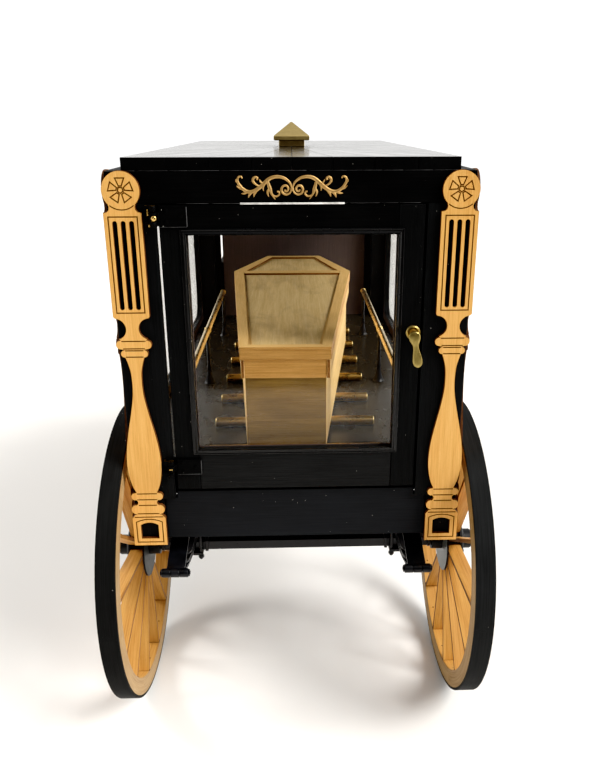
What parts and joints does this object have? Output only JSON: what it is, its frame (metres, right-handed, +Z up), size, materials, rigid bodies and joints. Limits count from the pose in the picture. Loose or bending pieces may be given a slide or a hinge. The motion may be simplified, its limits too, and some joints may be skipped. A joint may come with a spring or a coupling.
{
  "type": "wooden scale model of a horse-drawn glass-sided hearse",
  "caption": "Black model hearse with glass sides, pale turned-look balusters, hinged rear door, coffin on rollers, elliptic springs, spoked wheels and a steering fore-carriage with pole.",
  "frame": {"origin": "on the ground under the middle of the bounding box", "axes": "+X to the vehicle's right, +Y forward along the pole, +Z up"},
  "size_m": [0.1532, 0.5292, 0.2349],
  "materials": {
    "black_lacquer": "gloss black lacquer over fine-grained ply",
    "black_satin": "satin black stain",
    "ply": "laser-cut birch ply, brown cut edges",
    "wheel_wood": "light beech, oiled",
    "coffin_wood": "pale oak, satin",
    "tyre_black": "matt black band",
    "iron_black": "satin black paint",
    "brass": "drawn tube, light polish",
    "gilt": "gilt, satin",
    "clear_pane": "clear sheet",
    "black_hide": "buttoned black hide"
  },
  "bodies": {
    "carriage": {"roof_slab": "black_lacquer", "header_boards": "black_lacquer", "corner_posts": "black_satin", "end_panels": "black_satin", "side_walls": "black_satin", "roof_rails": "black_satin", "side_panes": "clear_pane", "balusters": "ply", "roof_finial": "gilt", "deck": "black_lacquer", "underfloor": "black_satin", "rollers": "brass", "side_rails": "brass", "rail_legs": "iron_black", "coffin_box": "coffin_wood", "coffin_lid": "coffin_wood", "door_hinge_pins": "iron_black", "boot": "black_satin", "seat": "black_satin", "seat_cushion": "black_hide", "footboard": "black_satin", "rear_springs": "iron_black", "rear_axle": "iron_black", "turntable_upper": "iron_black", "kingpin": "iron_black"},
    "rear_door": {"door_frame": "black_satin", "door_pane": "clear_pane", "door_moulding": "black_satin", "door_hinge_straps": "iron_black", "door_handle": "brass"},
    "fore_carriage": {"bolster": "iron_black", "front_springs": "iron_black", "front_axle": "iron_black", "futchells": "black_satin", "splinter_bar": "black_satin", "pole": "black_satin", "pole_end": "brass"},
    "rear_left_wheel": {"rear_left_wheel": "wheel_wood", "rear_left_tyre": "tyre_black", "rear_left_hub": "iron_black"},
    "rear_right_wheel": {"rear_right_wheel": "wheel_wood", "rear_right_tyre": "tyre_black", "rear_right_hub": "iron_black"},
    "front_left_wheel": {"front_left_wheel": "wheel_wood", "front_left_tyre": "tyre_black", "front_left_hub": "iron_black"},
    "front_right_wheel": {"front_right_wheel": "wheel_wood", "front_right_tyre": "tyre_black", "front_right_hub": "iron_black"}
  },
  "joints": [
    {"name": "rear_door_hinge", "type": "hinge", "parent": "carriage", "child": "rear_door", "pos_m": [-0.0457, -0.23725, 0.157], "axis": [0, 0, -1], "range_deg": [0, 105]},
    {"name": "fore_carriage_steer", "type": "hinge", "parent": "carriage", "child": "fore_carriage", "pos_m": [0, 0.04465, 0.082], "axis": [0, 0, 1], "range_deg": [-25, 25]},
    {"name": "rear_left_wheel_spin", "type": "hinge", "parent": "carriage", "child": "rear_left_wheel", "pos_m": [-0.0676, -0.20265, 0.062], "axis": [1, 0, 0], "continuous": true},
    {"name": "rear_right_wheel_spin", "type": "hinge", "parent": "carriage", "child": "rear_right_wheel", "pos_m": [0.0676, -0.20265, 0.062], "axis": [1, 0, 0], "continuous": true},
    {"name": "front_left_wheel_spin", "type": "hinge", "parent": "fore_carriage", "child": "front_left_wheel", "pos_m": [-0.0676, 0.04465, 0.042], "axis": [1, 0, 0], "continuous": true},
    {"name": "front_right_wheel_spin", "type": "hinge", "parent": "fore_carriage", "child": "front_right_wheel", "pos_m": [0.0676, 0.04465, 0.042], "axis": [1, 0, 0], "continuous": true}
  ]
}
